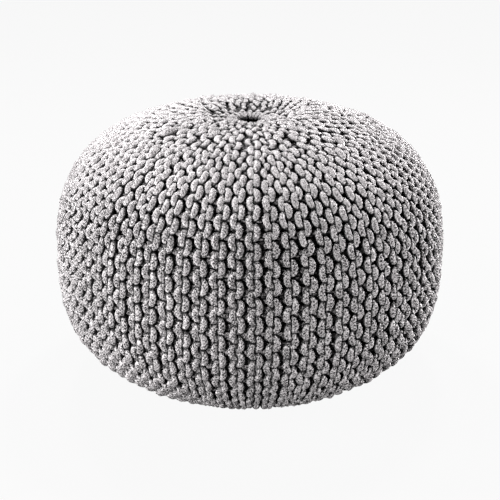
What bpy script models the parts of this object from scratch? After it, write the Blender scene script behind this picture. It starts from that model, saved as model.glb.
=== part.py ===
"""Round knitted pouf: one filled body under a cover knitted sideways in garter stitch.

The garter ridges run from the gathered eye on top to the gathered middle of the foot.
Every second ridge is a short row, which ends before it reaches the eye or the foot's middle.
Metres, +Z up. The origin is the middle of the foot, on the surface that the pouf stands on.
"""

import math

import bmesh
import bpy
import numpy as np

# Overall form: half the width, the widest level, and how far crown and belly reach from it
RADIUS = 0.254
WIDEST_Z = 0.163
CROWN_RISE = 0.195
CROWN_SQUARENESS = 2.78
BELLY_DROP = 0.171
BELLY_SQUARENESS = 2.72

# Soft lobes of the filling: how far they swell the side, how many go round, and their turn
LOBES = (
    {"swell": 0.0012, "count": 2, "turn": 0.6},
    {"swell": 0.0008, "count": 4, "turn": 2.1},
)

# Dish round the eye, and the eye itself
DISH_DEPTH = 0.017
DISH_REACH = 0.038
EYE_RADIUS = 0.0115
EYE_LIP = 0.005
EYE_DEPTH = 0.016

# Ridges: a long row and a short row make a pair. One long row stands just right of the front, -Y
PAIRS = 37
FRONT_ROW = math.radians(1.3)
RIDGE_DEPTH = 0.009
FOOT_GROOVE = 0.002
PLEAT_DEPTH = 0.001
SHORT_ROW_REACH = 0.145
SHOULDER = 0.24

# Levels of the mesh, as distances along the cover's outline
CROWN_STEP = 0.021
SIDE_STEP = 0.034
FOOT_STEP = 0.029
PLEAT_REACH = 0.012
FOOT_MIDDLE = 0.030
OUTLINE_SAMPLES = 2400

CORD_GREY = (0.50, 0.49, 0.495, 1.0)
CORD_ROUGHNESS = 0.9


def clear_scene():
    for thing in list(bpy.data.objects):
        bpy.data.objects.remove(thing, do_unlink=True)


def dish(radius):
    """How far the cover is drawn down round the eye."""
    return DISH_DEPTH * np.exp(-((radius / DISH_REACH) ** 2))


def cover_outline():
    """Radius and height along the cover, from the eye's lip over the side to the foot's middle."""
    turn = np.linspace(math.pi / 2, -math.pi / 2, OUTLINE_SAMPLES)
    upper = turn >= 0
    squareness = np.where(upper, CROWN_SQUARENESS, BELLY_SQUARENESS)
    reach = np.where(upper, CROWN_RISE, BELLY_DROP)
    radius = RADIUS * np.abs(np.cos(turn)) ** (2 / squareness)
    height = WIDEST_Z + np.sign(turn) * reach * np.abs(np.sin(turn)) ** (2 / squareness)
    height = np.where(upper, height - dish(radius), np.maximum(height, 0.0))
    kept = ~upper | (radius > EYE_RADIUS + EYE_LIP)
    return radius[kept], height[kept]


class Outline:
    """The cover's outline, read by the distance run along it from the eye's lip."""

    def __init__(self):
        self.radius, self.height = cover_outline()
        steps = np.hypot(np.diff(self.radius), np.diff(self.height))
        self.run = np.concatenate([[0.0], np.cumsum(steps)])
        self.length = float(self.run[-1])

    def place(self, run):
        radius = float(np.interp(run, self.run, self.radius))
        height = float(np.interp(run, self.run, self.height))
        return radius, height

    def inward(self, run):
        """Unit direction into the body, as radius and height."""
        step = 0.002
        before = self.place(max(run - step, 0.0))
        after = self.place(min(run + step, self.length))
        along = (after[0] - before[0], after[1] - before[1])
        size = math.hypot(*along)
        return along[1] / size, -along[0] / size


def swell(angle, radius):
    """The lobes' swelling, full at the widest level and fading to the poles."""
    lobes = sum(lobe["swell"] * math.sin(lobe["count"] * angle + lobe["turn"]) for lobe in LOBES)
    return lobes * (radius / RADIUS) ** 2


def eased(value, low, high):
    """0 below low, 1 above high, smooth between."""
    share = min(max((value - low) / (high - low), 0.0), 1.0)
    return share * share * (3 - 2 * share)


def short_row_share(distance_from_pole):
    """How much of a pair the short row takes: half at the side, narrower where it ends."""
    return 0.5 * (0.62 + 0.38 * eased(distance_from_pole, SHORT_ROW_REACH, SHORT_ROW_REACH + 0.09))


def long_row_points(width):
    """A long row's near groove and two crest edges, from its own middle: place in the pair, sunk."""
    crest = (0.5 - SHOULDER) * width
    return [(-0.5 * width, 1.0), (-crest, 0.0), (crest, 0.0)]


def ridge_points(share):
    """A pair at a level where both its rows show, the short row taking that share of it."""
    groove = 0.5 * (1.0 - share)
    short_row = [(groove, 1.0), (groove + SHOULDER * share, 0.0), (1 - groove - SHOULDER * share, 0.0)]
    return long_row_points(1.0 - share) + short_row


LONG_ROW_POINTS = long_row_points(1.0)
PLEAT_POINTS = [(-0.5, 1.0), (0.0, 0.0)]

# Which point of the sparser level each point of the denser level joins, within one pair
LINKS = {
    (6, 3): [0, 1, 2, 3, 3, 3],
    (3, 2): [0, 1, 1],
}


def pair_angle(place):
    """The angle of a place counted in pairs, from the long row at the front."""
    return FRONT_ROW - math.pi / 2 + 2 * math.pi * place / PAIRS


def add_level(body, outline, run, points, depth):
    """One level of points round the cover, at a distance along its outline."""
    radius, height = outline.place(run)
    inward = outline.inward(run)
    level = []
    for pair in range(PAIRS):
        for place, sunk in points:
            angle = pair_angle(pair + place)
            out = radius + swell(angle, radius) + inward[0] * depth * sunk
            up = height + inward[1] * depth * sunk
            level.append(body.verts.new((out * math.cos(angle), out * math.sin(angle), max(up, 0.0))))
    return level


def add_eye_level(body, radius, height):
    """One level of the pleats that run down into the eye."""
    level = []
    for pair in range(PAIRS):
        for place, sunk in PLEAT_POINTS:
            angle = pair_angle(pair + place)
            out = radius + PLEAT_DEPTH * sunk
            level.append(body.verts.new((out * math.cos(angle), out * math.sin(angle), height)))
    return level


def join_levels(body, first, second):
    """Faces between two levels, whether or not they have the same number of points."""
    dense, sparse = (first, second) if len(first) >= len(second) else (second, first)
    per_dense = len(dense) // PAIRS
    per_sparse = len(sparse) // PAIRS
    links = LINKS.get((per_dense, per_sparse), list(range(per_dense)))
    joined = [
        (pair * per_sparse + link) % len(sparse)
        for pair in range(PAIRS)
        for link in links
    ]
    for here in range(len(dense)):
        beyond = (here + 1) % len(dense)
        low, high = sparse[joined[here]], sparse[joined[beyond]]
        corners = [dense[here], dense[beyond], high]
        if high is not low:
            corners.append(low)
        body.faces.new(corners)


def close_level(body, level, height):
    """A fan of faces that closes a level at the axis."""
    middle = body.verts.new((0.0, 0.0, height))
    for here in range(len(level)):
        body.faces.new([level[here], level[(here + 1) % len(level)], middle])


def evenly(start, end, step):
    """Distances from start to end, both included, about a step apart."""
    return np.linspace(start, end, max(2, round((end - start) / step) + 1))


def eye_levels(body, outline):
    """Floor, wall and rounded lip of the eye, from its floor up to the cover's outline."""
    lip_radius, lip_height = outline.place(0.0)
    centre_height = lip_height - EYE_LIP
    floor_height = centre_height - EYE_DEPTH
    levels = [add_eye_level(body, EYE_RADIUS, floor_height)]
    close_level(body, levels[0], floor_height)
    for degrees in (0, 45):
        turn = math.radians(degrees)
        radius = lip_radius - EYE_LIP * math.cos(turn)
        levels.append(add_eye_level(body, radius, centre_height + EYE_LIP * math.sin(turn)))
    return levels


def cover_levels(body, outline):
    """The cover from the eye's lip, over the crown, side and belly, to the foot's middle."""
    reach = SHORT_ROW_REACH
    lower_end = outline.length - reach
    levels = []
    for run in (0.0, PLEAT_REACH):
        depth = PLEAT_DEPTH + (RIDGE_DEPTH - PLEAT_DEPTH) * 0.25 * run / PLEAT_REACH
        levels.append(add_level(body, outline, run, PLEAT_POINTS, depth))
    for run in evenly(2 * PLEAT_REACH, reach, CROWN_STEP):
        depth = PLEAT_DEPTH + (RIDGE_DEPTH - PLEAT_DEPTH) * eased(run, 0.0, 0.09)
        levels.append(add_level(body, outline, run, LONG_ROW_POINTS, depth))
    for run in evenly(reach + CROWN_STEP / 2, lower_end - CROWN_STEP / 2, SIDE_STEP):
        from_pole = min(run, outline.length - run)
        depth = FOOT_GROOVE + (RIDGE_DEPTH - FOOT_GROOVE) * eased(outline.length - run, 0.10, 0.17)
        points = ridge_points(short_row_share(from_pole))
        levels.append(add_level(body, outline, run, points, depth))
    for run in evenly(lower_end, outline.length - FOOT_MIDDLE, FOOT_STEP):
        depth = FOOT_GROOVE + (RIDGE_DEPTH - FOOT_GROOVE) * eased(outline.length - run, 0.10, 0.17)
        last = run > outline.length - FOOT_MIDDLE - 1e-9
        levels.append(add_level(body, outline, run, LONG_ROW_POINTS, 0.0 if last else depth))
    close_level(body, levels[-1], 0.0)
    return levels


def cord_material():
    material = bpy.data.materials.new("cotton_cord_grey")
    material.use_nodes = True
    shader = material.node_tree.nodes["Principled BSDF"]
    shader.inputs["Base Color"].default_value = CORD_GREY
    shader.inputs["Roughness"].default_value = CORD_ROUGHNESS
    shader.inputs["Metallic"].default_value = 0.0
    material.diffuse_color = CORD_GREY
    return material


def build_pouf():
    outline = Outline()
    body = bmesh.new()
    levels = eye_levels(body, outline) + cover_levels(body, outline)
    for first, second in zip(levels, levels[1:]):
        join_levels(body, first, second)
    bmesh.ops.recalc_face_normals(body, faces=body.faces)
    mesh = bpy.data.meshes.new("knitted_pouf")
    body.to_mesh(mesh)
    body.free()
    mesh.materials.append(cord_material())
    mesh.shade_smooth()
    mesh.set_sharp_from_angle(angle=math.radians(70))
    pouf = bpy.data.objects.new("knitted_pouf", mesh)
    bpy.context.scene.collection.objects.link(pouf)
    return pouf


clear_scene()
build_pouf()
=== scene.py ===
"""Round knitted pouf: cotton cord in garter stitch over a filled body, with a gathered eye on top."""

import math

import bmesh
import bpy
import numpy as np
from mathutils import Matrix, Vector
from mathutils.bvhtree import BVHTree


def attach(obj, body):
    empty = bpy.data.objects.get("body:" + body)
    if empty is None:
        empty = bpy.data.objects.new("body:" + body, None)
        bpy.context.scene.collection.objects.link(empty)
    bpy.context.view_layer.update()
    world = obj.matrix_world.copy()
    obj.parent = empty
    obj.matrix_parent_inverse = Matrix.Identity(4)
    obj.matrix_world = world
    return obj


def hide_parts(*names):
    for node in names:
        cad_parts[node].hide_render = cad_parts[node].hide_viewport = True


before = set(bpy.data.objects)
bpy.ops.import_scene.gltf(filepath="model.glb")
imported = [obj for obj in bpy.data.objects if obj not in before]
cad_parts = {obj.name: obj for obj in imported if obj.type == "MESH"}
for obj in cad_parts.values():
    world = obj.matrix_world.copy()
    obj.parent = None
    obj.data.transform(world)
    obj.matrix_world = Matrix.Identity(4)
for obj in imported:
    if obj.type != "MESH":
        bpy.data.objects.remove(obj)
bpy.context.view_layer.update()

NODE = "knitted_pouf"
BODY = "root"
GORES = 8
SEED = 11

# The cover's outline, as on the solid: half width, widest level, reach and squareness of each half
RADIUS = 0.254
WIDEST_Z = 0.163
CROWN_RISE, CROWN_SQUARENESS = 0.195, 2.78
BELLY_DROP, BELLY_SQUARENESS = 0.171, 2.72
DISH_DEPTH, DISH_REACH = 0.017, 0.038
LOBES = ((0.0012, 2, 0.6), (0.0008, 4, 2.1))
OUTLINE_SAMPLES = 4000
OUTLINE_STEP = 0.004
LEAST_RADIUS = 0.012

# Knitting: 37 long rows and 37 short rows, each a pair of cord runs that makes one ridge
PAIRS = 37
FRONT_ROW = math.radians(1.3)
STITCH = 0.0228
FIRST_STITCH = 0.0085
SHORT_ROW_END = 0.137
LONG_ROW_ENDS = (0.0235, 0.040)
LONG_ROW_FOOT_ENDS = (0.030, 0.048)

# A row's width: a short row is narrower where it ends, and a long one spreads to fill the room
SHORT_ROW_NARROW = 0.62
SHORT_ROW_WIDENS = 0.09
ROOM_BEFORE_END, ROOM_PAST_END = 0.008, 0.012
GATHER_SPREAD = 0.8
GATHER_SPREADS = (0.030, 0.050)

# A row's ends go in under what they meet: how deep, from where and over what length
TUCK = 0.005
TUCK_START, TUCK_REACH = -0.004, 0.009

# One stitch: cord, how far its loop leans out over its neighbours, rises, dives and is pinched
CORD = 0.0088
CORD_TALL = 1.08
CORD_NARROW = 0.98
CORD_SIDES = 8
LOOP_LEAN = 0.0048
LEAN_LEAST, LEAN_WIDTHS = 0.3, (0.008, 0.017)
LOOP_RISE = 0.0074
LOOP_SETTLE = 0.0004
LOOP_DIVE = (1.1, 1.6)
LOOP_DROOP = 0.0014
PINCH, PINCH_SHARPNESS = 0.20, 1.5
SQUEEZE_LEAST, SQUEEZE_WIDTHS = 0.82, (0.007, 0.014)
POINTS_PER_LOOP = 16
FRONT_CROWDING = 0.3

# Over the crown the stitches are looser, wider and flatter
CROWN_RUN = (0.11, 0.20)
CROWN_LOOSER, CROWN_WIDER, CROWN_FLATTER = 0.6, 0.035, 0.2

# How stitches differ: a slow drift and sway of the row, and each loop's own place, reach, turn and rise
DRIFT, DRIFT_LENGTH = 0.0007, 0.21
SWAYS, SWAY, SWAY_LENGTHS = 4, 0.0005, (0.12, 0.45)
UNEVEN_ALONG = 0.0007
UNEVEN_REACH = 0.0006
UNEVEN_TURN = 0.06
UNEVEN_SLANT = 0.0007
UNEVEN_RISE = 0.0006
THICKNESS_VARIATION = 0.22
THICKNESS_WAVES = 55.0

# Gathers: strands of cord drawn together over the eye's lip, and flat to the foot's middle
EYE_RADIUS, EYE_LIP, EYE_DEPTH = 0.014, 0.007, 0.014
EYE_TAPER = 0.001
GATHER_STRANDS = 24
GATHER_REACH = 0.046
GATHER_POINTS, LIP_POINTS, WALL_POINTS = 20, 8, 10
FOOT_GATHER_EDGE = 0.006
FOOT_CURL, FOOT_CURL_POINTS = 0.004, 6
FOOT_TAIL_STEP, FOOT_TAIL_POINTS = 0.002, 4

# One strand of a gather: how it is squeezed, waves and comes up from under the rows
STRAND_CLOSENESS, STRAND_ROOM = 0.98, 0.0025
STRAND_LEAST, STRAND_MOST = 0.3, 1.2
STRAND_BULGE, STRAND_BULGE_LENGTH = 0.06, 0.0035
STRAND_WAVE, STRAND_WAVE_LENGTH = 0.05, 0.006
STRAND_LIFT, STRAND_SHIFT = 0.0007, 0.05
STRAND_START_DEPTH = 0.0065
STRAND_SURFACES = (0.0235, 0.0315)
ANY_PHASE = 6.28

# How deep a strand counts as lying for its painted shade, and how much deeper inside the eye, where its
# wall is painted dark as shade
STRAND_SUNK_SHARE, STRAND_SUNK = 0.8, 0.0026
INSIDE_SHADE_DEPTH, INSIDE_START, INSIDE_REACH = 0.012, 0.0035, 0.0030

# Painted shade where cord lies against cord: how far it looks for a neighbour, and how deep
LOOK_START = 0.0003
LOOK_LEAN = math.radians(55)
CLOSE_REACH = 0.0040
CLOSE_DEEPEST = 0.013
CLOSEST_SHARE = 0.5

# Filled body: its depth under the cover, and its rings and their points
BODY_DEPTH = 1.9 * LOOP_RISE + CORD / 2
BODY_RINGS, BODY_ROUND = 40, 96
BODY_END = 0.02

# The cord is a fine knitted tube: wales round it, and Vs along them that bend, lean and stagger
WALES = 8.0
VEE_LENGTH = 0.0032
VEE_BEND, VEE_BEND_SCALE = 1.2, 130.0
VEE_LEAN = 1.1
VEE_STAGGER = 0.37

# Small holes between the Vs, each limit with how steeply they begin there
FLECK_SCALE, FLECK_DETAIL = 300.0, 2.0
HOLE_FLECK = (0.472, 32.0)
HOLE_STRAND = (0.80, 8.0)
HOLE_WALE = (0.42, 16.0)
HOLE_SLACK = (0.50, 4.0)
SEAM_WALE = (0.36, 5.0)
HOLE_SHARE = 0.94

# Levels where the crown and the top begin, and how much they hide fine detail and shade: painted light, as
# the crown is lit brighter from above
CROWN_LEVEL = (0.25, 14.0)
TOP_LEVEL = (0.31, 33.0)
CROWN_LIGHT_HIDES_HOLES = 0.85
FINE_SHADE, CROWN_FINE_SHADE = 0.40, 0.22
TOP_LIFTS_PAINTED_SHADE = 0.62

# Depths under the ridges' crests where the painted rim highlight and each painted shade begin and are full
PAINTED_RIM_DEPTH, PAINTED_RIM_SHARE = (0.0012, 0.0024), 0.60
PAINTED_LINE_DEPTH, PAINTED_LINE_SHARE = (0.0026, 0.0044), 0.95
PAINTED_SHADE_DEPTH = (0.0042, 0.0064)
LEGS_DEPTH = (0.0080, 0.0094)
PAINTED_PIT_DEPTH = (0.0112, 0.0130)
TOUCHING_SHADE = (0.22, 0.46)
PAINTED_LINE_FLANK = (0.60, 0.96)

# Greys of the cord, with the greys of its painted highlight and painted shade
TONE_SCALE, TONE_DETAIL = 24.0, 4.0
FIBRE_DULL, FIBRE_PALE = (0.59, 0.557, 0.566), (0.73, 0.692, 0.702)
FIBRE_FINE_GROOVE_SHADE = (0.34, 0.33, 0.335)
FIBRE_PAINTED_HIGHLIGHT = (0.97, 0.93, 0.94)
FIBRE_PAINTED_SHADE = (0.10, 0.095, 0.097)
FIBRE_LEGS = (0.66, 0.622, 0.632)
FIBRE_PAINTED_LINE = (0.010, 0.009, 0.010)
HOLE_DARK = (0.014, 0.012, 0.013)

# Relief of the cord's surface
BUMP_DISTANCE = 0.0032
FLECK_RELIEF, STRAND_RELIEF = 0.9, 0.9
HOLE_RELIEF, SEAM_RELIEF = 0.8, 0.3

# Inside of the knitting, near black as painted shade between the cords
GROUND_SHADE_DARK, GROUND_SHADE_PALE = (0.006, 0.0055, 0.006), (0.014, 0.013, 0.014)
GROUND_SCALE = 300.0

# Camera, from the photo: distance, height angle and field of view
CAMERA_DISTANCE = 1.6
CAMERA_ELEVATION = math.radians(21.4)
PICTURE = 500
FOCAL_PIXELS = 1195.7
AIM_PIXEL = (249.8, 249.9)
SENSOR = 36.0

# Soft lights: place and watts. The strongest come from behind and above
LIGHTS = {
    "top_softbox": ((-0.5, 1.1, 1.95), 50.0),
    "back_softbox": ((0.3, 0.9, 2.0), 46.0),
    "left_softbox": ((-1.85, -0.3, 0.4), 54.0),
    "front_softbox": ((-0.9, -1.9, 0.6), 54.0),
    "right_softbox": ((1.95, -0.1, 0.2), 44.0),
    "right_rim": ((1.8, 0.8, 0.4), 56.0),
}
LIGHT_SIZE = 0.3
LIGHT_AIM = (0.0, 0.0, 0.17)
WORLD_GREY, WORLD_STRENGTH = 0.94, 0.03

# Floor, half its side, and its tone
FLOOR_REACH = 20.0
FLOOR_GREY, FLOOR_GLOW = 0.012, 0.93


# Outline of the cover

def cover_outline():
    """Radius and height along the cover from the top's middle to the foot's middle."""
    turn = np.linspace(math.pi / 2, -math.pi / 2, OUTLINE_SAMPLES)
    upper = turn >= 0
    squareness = np.where(upper, CROWN_SQUARENESS, BELLY_SQUARENESS)
    reach = np.where(upper, CROWN_RISE, BELLY_DROP)
    radius = RADIUS * np.abs(np.cos(turn)) ** (2 / squareness)
    height = WIDEST_Z + np.sign(turn) * reach * np.abs(np.sin(turn)) ** (2 / squareness)
    dish = DISH_DEPTH * np.exp(-((radius / DISH_REACH) ** 2))
    return radius, np.where(upper, height - dish, np.maximum(height, 0.0))


OUT_RADIUS, OUT_HEIGHT = cover_outline()
OUT_RUN = np.concatenate([[0.0], np.cumsum(np.hypot(np.diff(OUT_RADIUS), np.diff(OUT_HEIGHT)))])
LENGTH = float(OUT_RUN[-1])


def outline_at(run):
    """Radius, height and the outward direction (as radius and height) at distances along the cover."""
    radius = np.interp(run, OUT_RUN, OUT_RADIUS)
    height = np.interp(run, OUT_RUN, OUT_HEIGHT)
    ahead = np.minimum(run + OUTLINE_STEP, LENGTH)
    back = np.maximum(run - OUTLINE_STEP, 0.0)
    along_r = np.interp(ahead, OUT_RUN, OUT_RADIUS) - np.interp(back, OUT_RUN, OUT_RADIUS)
    along_z = np.interp(ahead, OUT_RUN, OUT_HEIGHT) - np.interp(back, OUT_RUN, OUT_HEIGHT)
    size = np.hypot(along_r, along_z)
    return radius, height, -along_z / size, along_r / size


def swell(angle, radius):
    """The filling's soft lobes, full at the widest level and fading to the poles."""
    lobes = sum(size * np.sin(count * angle + turn) for size, count, turn in LOBES)
    return lobes * (radius / RADIUS) ** 2


def turned(radial, upward, angle):
    """Points or directions from their radius and height, turned by an angle round the middle."""
    return np.stack([radial * np.cos(angle), radial * np.sin(angle), upward], axis=-1)


def on_cover(run, angle, depth):
    """Points at a distance along the cover, an angle round it and a depth, and the way out there."""
    radius, height, out_r, out_z = outline_at(run)
    reach = radius + swell(angle, radius) - out_r * depth
    return turned(reach, height - out_z * depth, angle), turned(out_r, out_z, angle)


def eased(value, low, high):
    """0 below low, 1 above high, smooth between."""
    share = np.clip((value - low) / (high - low), 0.0, 1.0)
    return share * share * (3 - 2 * share)


# Rows of stitches

def wobble(rng, run, size, longest):
    """A slow random drift along a row, a sum of three waves."""
    total = np.zeros_like(run)
    for wave in (1, 2, 3):
        total += np.sin(2 * math.pi * run / (longest / wave) + rng.uniform(0, 2 * math.pi)) / wave
    return size * total


def reaches_gather(index):
    """Every second long row runs on to the gathers, because there is no room for all of them."""
    return (index // 2) % 2 == 0


def row_width(run, index):
    """The width that one row has at distances along the cover."""
    radius = outline_at(run)[0]
    from_pole = np.minimum(run, LENGTH - run)
    pair = 2 * math.pi * radius / PAIRS
    widened = eased(from_pole, SHORT_ROW_END, SHORT_ROW_END + SHORT_ROW_WIDENS)
    short = 0.5 * (SHORT_ROW_NARROW + (1 - SHORT_ROW_NARROW) * widened)
    if index % 2:
        return pair * short
    room = eased(from_pole, SHORT_ROW_END - ROOM_BEFORE_END, SHORT_ROW_END + ROOM_PAST_END)
    alone = 1 - short * room
    if reaches_gather(index):
        alone = alone + GATHER_SPREAD * (1 - eased(from_pole, *GATHER_SPREADS))
    return pair * alone


def row_ends(index):
    """Where a row begins and ends along the cover."""
    if index % 2:
        return SHORT_ROW_END, LENGTH - SHORT_ROW_END
    shorter = 0 if reaches_gather(index) else 1
    return LONG_ROW_ENDS[shorter], LENGTH - LONG_ROW_FOOT_ENDS[shorter]


def loop_phases(first, last):
    """Phases from first to last, whole at the front of each loop, closer together there."""
    even = np.linspace(first, last, int(abs(last - first) * POINTS_PER_LOOP) + 1)
    return even - FRONT_CROWDING * np.sin(2 * math.pi * even) / (2 * math.pi)


def uneven(rng, phase, size):
    """A value of its own for each loop."""
    loop = np.round(phase).astype(int)
    loop = loop - loop.min()
    return size * rng.normal(0, 1, loop.max() + 1)[loop]


def ridge_path(index, rng):
    """The middle line of one ridge's cord: up as heads on its right side, back as sinkers on its left."""
    top, bottom = row_ends(index)
    quarter = 0.25
    first = math.ceil((top - FIRST_STITCH) / STITCH + quarter)
    last = math.floor((bottom - FIRST_STITCH) / STITCH - quarter)
    heads = (1, 0.0, loop_phases(last + quarter, first - quarter))
    sinkers = (-1, 0.5, loop_phases(first - quarter, last - 3 * quarter))
    middle = FRONT_ROW - math.pi / 2 + 2 * math.pi * (index / 2) / PAIRS
    sways = [
        (rng.uniform(*SWAY_LENGTHS), rng.uniform(0, 2 * math.pi), rng.normal(0, SWAY))
        for _ in range(SWAYS)
    ]
    path = {key: [] for key in ("place", "out", "squeeze", "depth")}
    for side, shift, phase in (heads, sinkers):
        turn = 2 * math.pi * phase
        front = np.clip(np.cos(turn), 0, 1)
        even = FIRST_STITCH + (phase + shift) * STITCH
        width = row_width(even, index)
        crown = 1 - eased(even, *CROWN_RUN)
        loose = 1 + CROWN_LOOSER * crown

        # Along the row: the loop leans out over the next one
        lean = LOOP_LEAN * (LEAN_LEAST + (1 - LEAN_LEAST) * eased(width, *LEAN_WIDTHS))
        run = even + lean * np.sin(2 * turn) + wobble(rng, even, DRIFT, DRIFT_LENGTH)
        run = run + uneven(rng, phase, UNEVEN_ALONG) * front * loose

        # Across the row: from behind its middle out to its side
        swing = width * (0.5 + CROWN_WIDER * crown) + uneven(rng, phase, UNEVEN_REACH) * front * loose
        across = side * (swing * np.cos(turn + uneven(rng, phase, UNEVEN_TURN)) - width / 4)
        across = across + uneven(rng, phase, UNEVEN_SLANT) * np.sin(turn) * loose
        for length, begin, size in sways:
            across = across + size * np.sin(2 * math.pi * even / length + begin)

        # Out of the cover: a broad arc at the front, steeper legs behind
        dive = np.where(np.cos(turn) > 0, *LOOP_DIVE)
        steep = np.sign(np.cos(turn)) * np.abs(np.cos(turn)) ** dive
        rise = LOOP_RISE * (1 - CROWN_FLATTER * crown) * steep + LOOP_DROOP * np.sin(turn) * front
        rise = rise + (uneven(rng, phase, UNEVEN_RISE) * loose - LOOP_SETTLE) * front
        from_end = np.minimum(even - top, bottom - even)
        sunk = TUCK * (1 - eased(from_end, TUCK_START, TUCK_REACH))
        depth = LOOP_RISE + CORD_TALL * CORD / 2 - rise + sunk

        angle = middle + across / np.maximum(outline_at(even)[0], LEAST_RADIUS)
        place, out = on_cover(run, angle, depth)
        pinched = 1 - PINCH * np.abs(np.sin(turn)) ** PINCH_SHARPNESS
        crowded = SQUEEZE_LEAST + (1 - SQUEEZE_LEAST) * eased(width, *SQUEEZE_WIDTHS)
        path["place"].append(place)
        path["out"].append(out)
        path["squeeze"].append(pinched * crowded)
        path["depth"].append(depth)
    return {key: np.concatenate(parts) for key, parts in path.items()}


# Gathers

def eye_profile():
    """Radius and height down the eye: along the cover, over the rounded lip and down the wall."""
    lip = EYE_RADIUS + EYE_LIP
    crown = slice(OUTLINE_SAMPLES // 2)
    radius = np.linspace(GATHER_REACH, lip, GATHER_POINTS)
    height = np.interp(radius, OUT_RADIUS[crown], OUT_HEIGHT[crown])
    turn = np.linspace(0, math.pi / 2, LIP_POINTS)[1:]
    wall = np.linspace(0, 1, WALL_POINTS)[1:]
    centre = height[-1] - EYE_LIP
    return (
        np.concatenate([radius, lip - EYE_LIP * np.sin(turn), EYE_RADIUS - EYE_TAPER * wall]),
        np.concatenate([height, centre + EYE_LIP * np.cos(turn), centre - EYE_DEPTH * wall]),
    )


def foot_profile():
    """Radius and height under the foot: flat to its middle, then up into the filling."""
    radius = np.linspace(GATHER_REACH, FOOT_GATHER_EDGE, GATHER_POINTS)
    turn = np.linspace(0, math.pi / 2, FOOT_CURL_POINTS)[1:]
    inner = FOOT_GATHER_EDGE - FOOT_CURL
    tail = FOOT_CURL + FOOT_TAIL_STEP * np.arange(1, FOOT_TAIL_POINTS + 1)
    return (
        np.concatenate([
            radius, FOOT_GATHER_EDGE - FOOT_CURL * np.sin(turn), np.full(FOOT_TAIL_POINTS, inner),
        ]),
        np.concatenate([np.zeros(GATHER_POINTS), FOOT_CURL * (1 - np.cos(turn)), tail]),
    )


def gather_path(profile, number, rng):
    """One strand of a gather, which comes up from under the rows and runs in over the edge."""
    radius, height = profile
    along_r, along_z = np.gradient(radius), np.gradient(height)
    size = np.hypot(along_r, along_z)
    upward = 1.0 if height[0] > WIDEST_Z else -1.0
    out_r, out_z = upward * along_z / size, -upward * along_r / size
    gone = np.concatenate([[0.0], np.cumsum(np.hypot(np.diff(radius), np.diff(height)))])

    share = 2 * math.pi * (radius + STRAND_ROOM) / (GATHER_STRANDS * CORD)
    squeeze = np.clip(STRAND_CLOSENESS * share, STRAND_LEAST, STRAND_MOST)
    bulge = np.sin(gone / STRAND_BULGE_LENGTH + rng.uniform(0, ANY_PHASE))
    squeeze = squeeze * (1 + STRAND_BULGE * bulge)
    lift = rng.normal(0, STRAND_LIFT)
    surfaces = eased(radius, *STRAND_SURFACES)
    depth = CORD / 2 * squeeze + STRAND_START_DEPTH * surfaces - lift * (1 - surfaces)
    angle = 2 * math.pi * (number + rng.normal(0, STRAND_SHIFT)) / GATHER_STRANDS
    angle = angle + STRAND_WAVE * np.sin(gone / STRAND_WAVE_LENGTH + rng.uniform(0, ANY_PHASE))

    # The depth kept for colour sets the painted shade; inside the eye it grows so the wall is painted dark
    over_lip = gone[-1] - EYE_DEPTH - INSIDE_START
    inside = eased(gone, over_lip, over_lip + INSIDE_REACH)
    return {
        "place": turned(radius - out_r * depth, height - out_z * depth, angle),
        "out": turned(out_r, out_z, angle),
        "squeeze": squeeze,
        "depth": STRAND_SUNK_SHARE * depth + INSIDE_SHADE_DEPTH * inside + STRAND_SUNK,
    }


# Reading and keeping values on a mesh

def read_values(mesh, name, kind="value", size=1):
    """A mesh attribute's values, one row for each vertex."""
    values = np.empty(len(mesh.vertices) * size, np.float32)
    mesh.attributes[name].data.foreach_get(kind, values)
    return values if size == 1 else values.reshape(-1, size)


def keep_values(mesh, name, values):
    """Stores one value for each vertex."""
    layer = mesh.attributes.new(name, "FLOAT", "POINT")
    layer.data.foreach_set("value", values.astype(np.float32))


def keep_arrows(mesh, name, arrows):
    """Stores one place or direction for each vertex."""
    layer = mesh.attributes.new(name, "FLOAT_VECTOR", "POINT")
    layer.data.foreach_set("vector", arrows.astype(np.float32).ravel())


def read_places(mesh):
    """The vertices' places, one row each."""
    places = np.empty(len(mesh.vertices) * 3, np.float32)
    mesh.vertices.foreach_get("co", places)
    return places.reshape(-1, 3)


def read_faces(mesh):
    """The vertex at each corner of the faces in turn, and the corner where each face starts."""
    corner = np.empty(len(mesh.loops), np.int32)
    mesh.loops.foreach_get("vertex_index", corner)
    start = np.empty(len(mesh.polygons), np.int32)
    mesh.polygons.foreach_get("loop_start", start)
    return corner, start


# Nodes

class Nodes:
    """Short ways to add nodes to a tree."""

    def __init__(self, tree):
        self.tree = tree

    def add(self, kind, **settings):
        node = self.tree.nodes.new(kind)
        for key, value in settings.items():
            setattr(node, key, value)
        return node

    def link(self, output, socket):
        self.tree.links.new(output, socket)

    def fill(self, socket, value):
        """Gives a socket a number, a colour or what another node puts out."""
        if isinstance(value, (int, float)):
            socket.default_value = value
        elif isinstance(value, tuple):
            socket.default_value = (*value, 1.0)
        else:
            self.link(value, socket)

    def maths(self, operation, *values, clamp=False):
        node = self.add("ShaderNodeMath", operation=operation, use_clamp=clamp)
        for socket, value in zip(node.inputs, values):
            self.fill(socket, value)
        return node.outputs[0]


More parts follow.
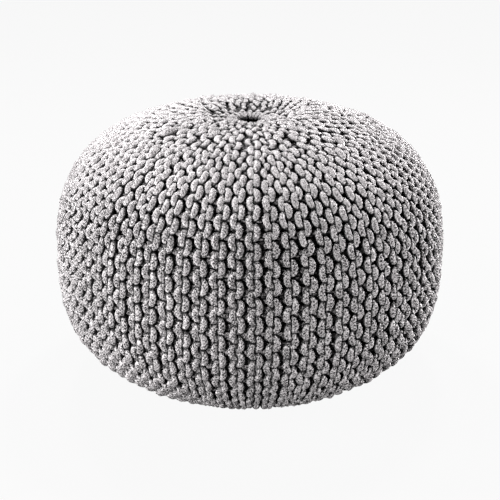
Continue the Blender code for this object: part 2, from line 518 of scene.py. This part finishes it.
class Shader(Nodes):
    """A Principled material and short ways to add nodes to it."""

    def __init__(self, name):
        self.material = bpy.data.materials.new(name)
        self.material.use_nodes = True
        super().__init__(self.material.node_tree)
        self.surface = self.tree.nodes["Principled BSDF"]

    def attribute(self, name):
        return self.add("ShaderNodeAttribute", attribute_name=name).outputs["Fac"]

    def place(self):
        return self.add("ShaderNodeTexCoord").outputs["Object"]

    def apart(self, vector):
        """The parts X, Y and Z of a vector."""
        node = self.add("ShaderNodeSeparateXYZ")
        self.link(vector, node.inputs[0])
        return node.outputs

    def noise(self, place, scale, detail=2.0):
        node = self.add("ShaderNodeTexNoise")
        self.link(place, node.inputs["Vector"])
        node.inputs["Scale"].default_value = scale
        node.inputs["Detail"].default_value = detail
        return node.outputs["Fac"]

    def scaled(self, value, size):
        return self.maths("MULTIPLY", value, size)

    def less(self, value):
        """What is left of 1."""
        return self.maths("SUBTRACT", 1.0, value)

    def above(self, value, limit, slope):
        """0 below the limit, and rising to 1 above it."""
        return self.maths("MULTIPLY", self.maths("SUBTRACT", value, limit), slope, clamp=True)

    def below(self, value, limit, slope):
        """0 above the limit, and rising to 1 below it."""
        return self.maths("MULTIPLY", self.maths("SUBTRACT", limit, value), slope, clamp=True)

    def smooth(self, value, low, high):
        """0 below low, 1 above high, smooth between."""
        node = self.add("ShaderNodeMapRange", interpolation_type="SMOOTHSTEP")
        self.link(value, node.inputs["Value"])
        node.inputs["From Min"].default_value = low
        node.inputs["From Max"].default_value = high
        return node.outputs["Result"]

    def blend(self, share, first, second):
        node = self.add("ShaderNodeMix", data_type="RGBA", blend_type="MIX")
        for number, value in ((0, share), (6, first), (7, second)):
            self.fill(node.inputs[number], value)
        return node.outputs[2]


# Cord swept along the rows

def rows_mesh(name, paths):
    """Edges along each path, with the cord's local thickness, run, depth and way out as attributes."""
    sizes = [len(path["place"]) for path in paths]
    starts = np.cumsum([0] + sizes)
    edges = [
        (start + step, start + step + 1)
        for start, size in zip(starts, sizes)
        for step in range(size - 1)
    ]
    mesh = bpy.data.meshes.new(name)
    joined = {key: np.concatenate([path[key] for path in paths]) for key in paths[0]}
    mesh.from_pydata(joined["place"].tolist(), edges, [])
    steps = [np.linalg.norm(np.diff(path["place"], axis=0), axis=1) for path in paths]
    runs = [np.concatenate([[0.0], np.cumsum(step)]) for step in steps]
    keep_values(mesh, "squeeze", joined["squeeze"])
    keep_values(mesh, "depth", joined["depth"])
    keep_values(mesh, "run", np.concatenate(runs))
    keep_arrows(mesh, "middle", joined["place"])
    keep_arrows(mesh, "out", joined["out"])
    return mesh


def cord_tree():
    """Sweeps a cord along every line of edges, with its thickness from the squeeze attribute."""
    tree = bpy.data.node_groups.new("cord_along_rows", "GeometryNodeTree")
    face = tree.interface
    face.new_socket("Rows", in_out="INPUT", socket_type="NodeSocketGeometry")
    face.new_socket("Cord Diameter", in_out="INPUT", socket_type="NodeSocketFloat")
    face.new_socket("Cord Sides", in_out="INPUT", socket_type="NodeSocketInt")
    face.new_socket("Thickness Variation", in_out="INPUT", socket_type="NodeSocketFloat")
    face.new_socket("Seed", in_out="INPUT", socket_type="NodeSocketFloat")
    face.new_socket("Cord Material", in_out="INPUT", socket_type="NodeSocketMaterial")
    face.new_socket("Cord", in_out="OUTPUT", socket_type="NodeSocketGeometry")
    cord = Nodes(tree)
    given = cord.add("NodeGroupInput").outputs

    # Thickness: the squeeze of each stitch, with a slow random change
    squeeze = cord.add("GeometryNodeInputNamedAttribute", data_type="FLOAT")
    squeeze.inputs["Name"].default_value = "squeeze"
    waves = cord.add("ShaderNodeTexNoise", noise_dimensions="4D")
    cord.link(cord.add("GeometryNodeInputPosition").outputs[0], waves.inputs["Vector"])
    cord.link(given["Seed"], waves.inputs["W"])
    waves.inputs["Scale"].default_value = THICKNESS_WAVES
    waves.inputs["Detail"].default_value = 1.0
    swing = cord.maths("SUBTRACT", waves.outputs["Fac"], 0.5)
    change = cord.maths("MULTIPLY", swing, given["Thickness Variation"])
    thickness = cord.maths("MULTIPLY", squeeze.outputs["Attribute"], cord.maths("ADD", change, 1.0))

    # Section: a ring that marks the turn round the cord
    ring = cord.add("GeometryNodeCurvePrimitiveCircle", mode="RADIUS")
    cord.link(given["Cord Sides"], ring.inputs["Resolution"])
    cord.link(cord.maths("MULTIPLY", given["Cord Diameter"], 0.5), ring.inputs["Radius"])
    mark = cord.add("GeometryNodeStoreNamedAttribute", data_type="FLOAT", domain="POINT")
    mark.inputs["Name"].default_value = "turn"
    cord.link(ring.outputs["Curve"], mark.inputs["Geometry"])
    cord.link(cord.add("GeometryNodeSplineParameter").outputs["Factor"], mark.inputs["Value"])

    # Sweep, smooth shading, real mesh and material
    lines = cord.add("GeometryNodeMeshToCurve")
    cord.link(given["Rows"], lines.inputs["Mesh"])
    sweep = cord.add("GeometryNodeCurveToMesh")
    cord.link(lines.outputs["Curve"], sweep.inputs["Curve"])
    cord.link(mark.outputs["Geometry"], sweep.inputs["Profile Curve"])
    cord.link(thickness, sweep.inputs["Scale"])
    sweep.inputs["Fill Caps"].default_value = True
    smooth = cord.add("GeometryNodeSetShadeSmooth")
    cord.link(sweep.outputs["Mesh"], smooth.inputs["Geometry"])
    real = cord.add("GeometryNodeRealizeInstances")
    cord.link(smooth.outputs["Geometry"], real.inputs["Geometry"])
    paint = cord.add("GeometryNodeSetMaterial")
    cord.link(real.outputs["Geometry"], paint.inputs["Geometry"])
    cord.link(given["Cord Material"], paint.inputs["Material"])
    cord.link(paint.outputs["Geometry"], cord.add("NodeGroupOutput").inputs["Cord"])
    return tree


def set_inputs(modifier, tree, values):
    """Sets a modifier's inputs by their sockets' identifiers."""
    for item in tree.interface.items_tree:
        if item.item_type == "SOCKET" and item.in_out == "INPUT" and item.name in values:
            modifier[item.identifier] = values[item.name]


def add_cord_map(mesh):
    """A UV map that runs once round the cord and, in metres, along it."""
    corner, start = read_faces(mesh)
    around = read_values(mesh, "turn")[corner]
    along = read_values(mesh, "run")[corner]
    sizes = np.diff(np.append(start, len(corner)))
    highest = np.repeat(np.maximum.reduceat(around, start), sizes)
    around = np.where(highest - around > 0.5, around + 1.0, around)
    layer = mesh.uv_layers.new(name="cord_map")
    layer.uv.foreach_set("vector", np.stack([around, along], axis=1).astype(np.float32).ravel())


def press_cord(mesh):
    """Cord held between its neighbours is taller than wide. Keeps how deep and how sideways it faces, which
    set the painted shade.
    """
    middle = read_values(mesh, "middle", "vector", 3)
    out = read_values(mesh, "out", "vector", 3)
    off = read_places(mesh) - middle
    outward = (off * out).sum(axis=1, keepdims=True)
    keep_values(mesh, "flank", 1.0 - outward[:, 0] / np.linalg.norm(off, axis=1))
    keep_values(mesh, "sunk", read_values(mesh, "depth") - outward[:, 0] * CORD_TALL)
    off = off * CORD_NARROW + out * outward * (CORD_TALL - CORD_NARROW)
    mesh.vertices.foreach_set("co", (middle + off).astype(np.float32).ravel())
    for name in ("middle", "out", "depth"):
        mesh.attributes.remove(mesh.attributes[name])


def rest_on_floor(mesh):
    """Cord that would reach below the floor is pressed flat on it."""
    places = read_places(mesh)
    places[:, 2] = np.maximum(places[:, 2], 0.0)
    mesh.vertices.foreach_set("co", places.ravel())
    mesh.update()


def look_ways(normals):
    """Five directions from each point: straight out, and four leant over by LOOK_LEAN."""
    never_zero = 1e-6
    level = np.cross(normals, (0.0, 0.0, 1.0)) + never_zero
    level = level / np.linalg.norm(level, axis=1, keepdims=True)
    steep = np.cross(normals, level)
    upright = normals * math.cos(LOOK_LEAN)
    ways = [normals]
    for sideways in (level, -level, steep, -steep):
        ways.append(upright + sideways * math.sin(LOOK_LEAN))
    return ways


def add_closeness(pieces):
    """How near other cord lies in front of each point of a cord's surface, from 0 to 1 where they touch; it
    sets where shade is painted.
    """
    corners, faces, first = [], [], 0
    for piece in pieces:
        corner, start = read_faces(piece.data)
        faces += [face.tolist() for face in np.split(corner + first, start[1:])]
        corners += read_places(piece.data).tolist()
        first += len(piece.data.vertices)
    cords = BVHTree.FromPolygons(corners, faces)
    for piece in pieces:
        mesh = piece.data
        normals = np.empty(len(mesh.vertices) * 3, np.float32)
        mesh.vertices.foreach_get("normal", normals)
        normals = normals.reshape(-1, 3)
        starts = read_places(mesh) + normals * LOOK_START
        ways = look_ways(normals)
        near = np.zeros((len(starts), len(ways)))
        for number in np.flatnonzero(read_values(mesh, "sunk") < CLOSE_DEEPEST):
            for which, way in enumerate(ways):
                gap = cords.ray_cast(starts[number], way[number], CLOSE_REACH)[3]
                if gap is not None:
                    near[number, which] = 1.0 - gap / CLOSE_REACH
        nearest, average = near.max(axis=1), near.mean(axis=1)
        keep_values(mesh, "closeness", CLOSEST_SHARE * nearest + (1 - CLOSEST_SHARE) * average)


def sweep_cord(name, paths, tree, material, seed):
    """A piece made of cord along the paths."""
    guide = bpy.data.objects.new(name + "_rows", rows_mesh(name + "_rows", paths))
    bpy.context.scene.collection.objects.link(guide)
    modifier = guide.modifiers.new("cord", "NODES")
    modifier.node_group = tree
    set_inputs(modifier, tree, {
        "Cord Diameter": CORD,
        "Cord Sides": CORD_SIDES,
        "Thickness Variation": THICKNESS_VARIATION,
        "Seed": float(seed),
        "Cord Material": material,
    })
    seen = guide.evaluated_get(bpy.context.evaluated_depsgraph_get())
    mesh = bpy.data.meshes.new_from_object(seen)
    mesh.name = name
    bpy.data.objects.remove(guide, do_unlink=True)
    add_cord_map(mesh)
    press_cord(mesh)
    rest_on_floor(mesh)
    piece = bpy.data.objects.new(name, mesh)
    bpy.context.scene.collection.objects.link(piece)
    return piece


# Materials

def cord_weave(cord, place, crown):
    """The cord's fine knitting: its strands, the seams between wales, the small holes and the flecks."""
    uv = cord.apart(cord.add("ShaderNodeUVMap", uv_map="cord_map").outputs["UV"])
    bend = cord.maths("SUBTRACT", cord.noise(place, VEE_BEND_SCALE), 0.5)
    bend = cord.scaled(bend, VEE_BEND)
    wales = cord.maths("ADD", cord.scaled(uv["X"], WALES), bend)
    stagger = cord.scaled(cord.maths("FLOOR", wales), VEE_STAGGER)
    aside = cord.maths("ABSOLUTE", cord.maths("SUBTRACT", cord.maths("FRACT", wales), 0.5))
    courses = cord.maths("ADD", cord.scaled(uv["Y"], 1 / VEE_LENGTH), stagger)
    vees = cord.maths("SUBTRACT", cord.maths("ADD", courses, bend), cord.scaled(aside, VEE_LEAN))
    wave = cord.maths("COSINE", cord.scaled(vees, 2 * math.pi))
    strand = cord.maths("ADD", cord.scaled(wave, 0.5), 0.5)
    seam = cord.above(aside, *SEAM_WALE)
    fleck = cord.noise(place, FLECK_SCALE, FLECK_DETAIL)

    gap = cord.maths("MULTIPLY", cord.below(strand, *HOLE_STRAND), cord.below(aside, *HOLE_WALE))
    slack = cord.above(cord.attribute("squeeze"), *HOLE_SLACK)
    # Painted light: the holes fade over the crown, which is lit brighter
    shown = cord.maths("MULTIPLY", slack, cord.less(cord.scaled(crown, CROWN_LIGHT_HIDES_HOLES)))
    some = cord.maths("MULTIPLY", cord.above(fleck, *HOLE_FLECK), shown)
    return strand, seam, cord.maths("MULTIPLY", gap, some), fleck


def cord_painted_shade(cord, level, sunk):
    """How much painted shade a place gets: where cords touch, under a cord's flank and down in a pit,
    lifted at the top.
    """
    flank = cord.smooth(cord.attribute("flank"), *PAINTED_LINE_FLANK)
    line = cord.maths("MULTIPLY", flank, cord.smooth(sunk, *PAINTED_LINE_DEPTH))
    touching = cord.smooth(cord.attribute("closeness"), *TOUCHING_SHADE)
    shade = cord.maths("MAXIMUM", touching, cord.scaled(line, PAINTED_LINE_SHARE))
    # The painted shade is lifted at the top, which is lit brighter
    top = cord.above(level, *TOP_LEVEL)
    shade = cord.maths("MULTIPLY", shade, cord.less(cord.scaled(top, TOP_LIFTS_PAINTED_SHADE)))
    return cord.maths("MAXIMUM", shade, cord.smooth(sunk, *PAINTED_PIT_DEPTH))


def cord_material():
    """Grey cotton cord, a fine knitted tube: small dark holes between its wales, soft and fuzzy, with
    painted shade and a painted rim highlight in its grey.
    """
    cord = Shader("grey_cotton_cord_with_painted_shade")
    place = cord.place()
    level = cord.apart(place)["Z"]
    crown = cord.above(level, *CROWN_LEVEL)
    strand, seam, hole, fleck = cord_weave(cord, place, crown)

    # Greys: the fibre's slow change, painted shade in its fine knitting's grooves, a painted highlight on
    # the arcs' rims, painted shade in the depths lifted back to plain grey on the legs, and painted shade
    # lines
    sunk = cord.attribute("sunk")
    grey = cord.blend(cord.noise(place, TONE_SCALE, TONE_DETAIL), FIBRE_DULL, FIBRE_PALE)
    # Painted shade in the fine knitting's grooves, weaker over the crown, which is lit brighter
    strength = cord.maths("SUBTRACT", FINE_SHADE, cord.scaled(crown, CROWN_FINE_SHADE))
    fine = cord.maths("MULTIPLY", cord.maths("ADD", cord.less(strand), seam), strength)
    grey = cord.blend(fine, grey, FIBRE_FINE_GROOVE_SHADE)
    grey = cord.blend(cord.scaled(cord.smooth(sunk, *PAINTED_RIM_DEPTH), PAINTED_RIM_SHARE), grey, FIBRE_PAINTED_HIGHLIGHT)
    grey = cord.blend(cord.smooth(sunk, *PAINTED_SHADE_DEPTH), grey, FIBRE_PAINTED_SHADE)
    grey = cord.blend(cord.smooth(sunk, *LEGS_DEPTH), grey, FIBRE_LEGS)
    grey = cord.blend(cord_painted_shade(cord, level, sunk), grey, FIBRE_PAINTED_LINE)
    grey = cord.blend(cord.scaled(hole, HOLE_SHARE), grey, HOLE_DARK)
    cord.link(grey, cord.surface.inputs["Base Color"])
    cord.surface.inputs["Roughness"].default_value = 0.92
    cord.surface.inputs["Sheen Weight"].default_value = 0.08
    cord.surface.inputs["Sheen Roughness"].default_value = 0.35
    cord.surface.inputs["Specular IOR Level"].default_value = 0.2

    raised = cord.maths("ADD", cord.scaled(fleck, FLECK_RELIEF), cord.scaled(strand, STRAND_RELIEF))
    pressed = cord.maths("ADD", cord.scaled(hole, HOLE_RELIEF), cord.scaled(seam, SEAM_RELIEF))
    bump = cord.add("ShaderNodeBump")
    bump.inputs["Strength"].default_value = 1.0
    bump.inputs["Distance"].default_value = BUMP_DISTANCE
    cord.link(cord.maths("SUBTRACT", raised, pressed), bump.inputs["Height"])
    cord.link(bump.outputs["Normal"], cord.surface.inputs["Normal"])
    return cord.material


def shade_ground_material():
    """Painted shade: the inside of the knitting, seen only between the cords, near black as the shade
    there.
    """
    ground = Shader("inner_ground_painted_shade")
    weave = ground.noise(ground.place(), GROUND_SCALE)
    ground.link(ground.blend(weave, GROUND_SHADE_DARK, GROUND_SHADE_PALE), ground.surface.inputs["Base Color"])
    ground.surface.inputs["Roughness"].default_value = 1.0
    ground.surface.inputs["Specular IOR Level"].default_value = 0.0
    return ground.material


# The filled body under the knitting

def filled_body(material):
    """A closed smooth body just under the back of the knitting, which carries the painted shade of the
    inside.
    """
    body = bmesh.new()
    levels = []
    angles = np.arange(BODY_ROUND) * 2 * math.pi / BODY_ROUND
    for run in np.linspace(BODY_END, LENGTH - BODY_END, BODY_RINGS):
        spots, _ = on_cover(np.full(BODY_ROUND, run), angles, np.full(BODY_ROUND, BODY_DEPTH))
        levels.append([body.verts.new(spot) for spot in spots.tolist()])
    for first, second in zip(levels, levels[1:]):
        for here in range(BODY_ROUND):
            beyond = (here + 1) % BODY_ROUND
            body.faces.new((first[here], first[beyond], second[beyond], second[here]))
    for level in (levels[0], levels[-1]):
        body.faces.new(level)
    bmesh.ops.recalc_face_normals(body, faces=body.faces)
    mesh = bpy.data.meshes.new("filled_body")
    body.to_mesh(mesh)
    body.free()
    mesh.shade_smooth()
    mesh.materials.append(material)
    piece = bpy.data.objects.new("filled_body", mesh)
    bpy.context.scene.collection.objects.link(piece)
    return piece


# Camera, lights and floor

def aim(thing, place, direction):
    """Stands a camera or a light at its place, looking in a direction."""
    thing.location = place
    thing.rotation_mode = "QUATERNION"
    thing.rotation_quaternion = direction.to_track_quat("-Z", "Y")
    bpy.context.scene.collection.objects.link(thing)


def aim_camera():
    """The camera at the photo's distance, height and framing."""
    target = Vector((0.0, 0.0, WIDEST_Z))
    back = Vector((0.0, -math.cos(CAMERA_ELEVATION), math.sin(CAMERA_ELEVATION)))
    data = bpy.data.cameras.new("camera")
    data.sensor_width = SENSOR
    data.lens = SENSOR * FOCAL_PIXELS / PICTURE
    data.shift_x = (PICTURE / 2 - AIM_PIXEL[0]) / PICTURE
    data.shift_y = (AIM_PIXEL[1] - PICTURE / 2) / PICTURE
    camera = bpy.data.objects.new("camera", data)
    aim(camera, target + back * CAMERA_DISTANCE, -back)
    bpy.context.scene.camera = camera


def light_scene():
    """The soft lights and a faint even world."""
    for name, (place, power) in LIGHTS.items():
        data = bpy.data.lights.new(name, "AREA")
        data.shape = "DISK"
        data.size = LIGHT_SIZE
        data.energy = power
        aim(bpy.data.objects.new(name, data), place, Vector(LIGHT_AIM) - Vector(place))
    world = bpy.data.worlds.new("studio")
    world.use_nodes = True
    background = world.node_tree.nodes["Background"]
    background.inputs["Color"].default_value = (WORLD_GREY, WORLD_GREY, WORLD_GREY, 1.0)
    background.inputs["Strength"].default_value = WORLD_STRENGTH
    bpy.context.scene.world = world
    bpy.context.scene.view_settings.view_transform = "Standard"


def lay_floor():
    """A plain pale floor, with only a faint shadow."""
    far = FLOOR_REACH
    mesh = bpy.data.meshes.new("floor")
    mesh.from_pydata([(-far, -far, 0), (far, -far, 0), (far, far, 0), (-far, far, 0)], [], [(0, 1, 2, 3)])
    pale = Shader("pale_floor")
    pale.surface.inputs["Base Color"].default_value = (FLOOR_GREY, FLOOR_GREY, FLOOR_GREY, 1.0)
    pale.surface.inputs["Roughness"].default_value = 1.0
    pale.surface.inputs["Specular IOR Level"].default_value = 0.0
    pale.surface.inputs["Emission Color"].default_value = (1.0, 1.0, 1.0, 1.0)
    pale.surface.inputs["Emission Strength"].default_value = FLOOR_GLOW
    mesh.materials.append(pale.material)
    floor = bpy.data.objects.new("floor", mesh)
    floor.visible_diffuse = False
    bpy.context.scene.collection.objects.link(floor)


# The whole pouf

def settle(piece):
    """Hides the solid's part that the pieces replace, and lets the piece ride on the body."""
    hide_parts(NODE)
    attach(piece, BODY)


def main():
    aim_camera()
    light_scene()
    lay_floor()
    settle(filled_body(shade_ground_material()))
    tree = cord_tree()
    material = cord_material()
    rng = np.random.default_rng(SEED)
    pieces = []
    for name, profile in (("eye_gather", eye_profile()), ("foot_gather", foot_profile())):
        strands = [gather_path(profile, number, rng) for number in range(GATHER_STRANDS)]
        pieces.append(sweep_cord(name, strands, tree, material, GORES))
    rows = [ridge_path(index, rng) for index in range(2 * PAIRS)]
    for gore, chosen in enumerate(np.array_split(np.arange(2 * PAIRS), GORES)):
        paths = [rows[index] for index in chosen]
        pieces.append(sweep_cord(f"knitted_gore_{gore + 1}", paths, tree, material, gore))
    add_closeness(pieces)
    for piece in pieces:
        settle(piece)


main()
